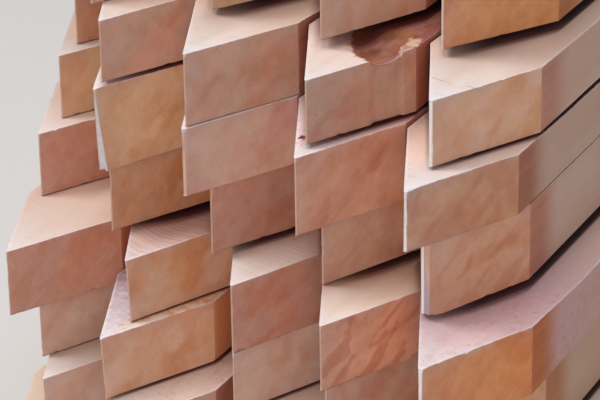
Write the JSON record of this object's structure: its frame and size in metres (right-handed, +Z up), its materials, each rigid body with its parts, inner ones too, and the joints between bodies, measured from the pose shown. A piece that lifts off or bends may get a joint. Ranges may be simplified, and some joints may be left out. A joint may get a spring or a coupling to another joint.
{
  "type": "bundle of hardwood stakes",
  "caption": "Strapped bundle of flat sawn hardwood stakes, each cut to a blunt chisel point, laid in courses with uneven tips and two flat straps.",
  "frame": {"origin": "middle of the bundle's outer box, on the floor under the straps", "axes": "+Y along the stakes from the points to the square ends, +X across the courses, +Z up"},
  "size_m": [0.2812, 1.036, 0.2911],
  "materials": {
    "hardwood": "rough sawn",
    "strap": "satin"
  },
  "bodies": {
    "root": {"front_strap": "strap", "rear_strap": "strap", "stake_01_a": "hardwood", "stake_01_b": "hardwood", "stake_01_c": "hardwood", "stake_01_d": "hardwood", "stake_01_e": "hardwood", "stake_02_a": "hardwood", "stake_02_b": "hardwood", "stake_02_c": "hardwood", "stake_02_d": "hardwood", "stake_02_e": "hardwood", "stake_03_a": "hardwood", "stake_03_b": "hardwood", "stake_03_c": "hardwood", "stake_03_d": "hardwood", "stake_03_e": "hardwood", "stake_04_a": "hardwood", "stake_04_b": "hardwood", "stake_04_c": "hardwood", "stake_04_d": "hardwood", "stake_04_e": "hardwood", "stake_05_a": "hardwood", "stake_05_b": "hardwood", "stake_05_c": "hardwood", "stake_05_d": "hardwood", "stake_05_e": "hardwood", "stake_06_a": "hardwood", "stake_06_b": "hardwood", "stake_06_c": "hardwood", "stake_06_d": "hardwood", "stake_06_e": "hardwood", "stake_07_a": "hardwood", "stake_07_b": "hardwood", "stake_07_c": "hardwood", "stake_07_d": "hardwood", "stake_07_e": "hardwood", "stake_08_a": "hardwood", "stake_08_b": "hardwood", "stake_08_c": "hardwood", "stake_08_d": "hardwood", "stake_08_e": "hardwood", "stake_09_a": "hardwood", "stake_09_b": "hardwood", "stake_09_c": "hardwood", "stake_09_d": "hardwood", "stake_09_e": "hardwood", "stake_10_a": "hardwood", "stake_10_b": "hardwood", "stake_10_c": "hardwood", "stake_10_d": "hardwood", "stake_10_e": "hardwood"}
  },
  "joints": []
}
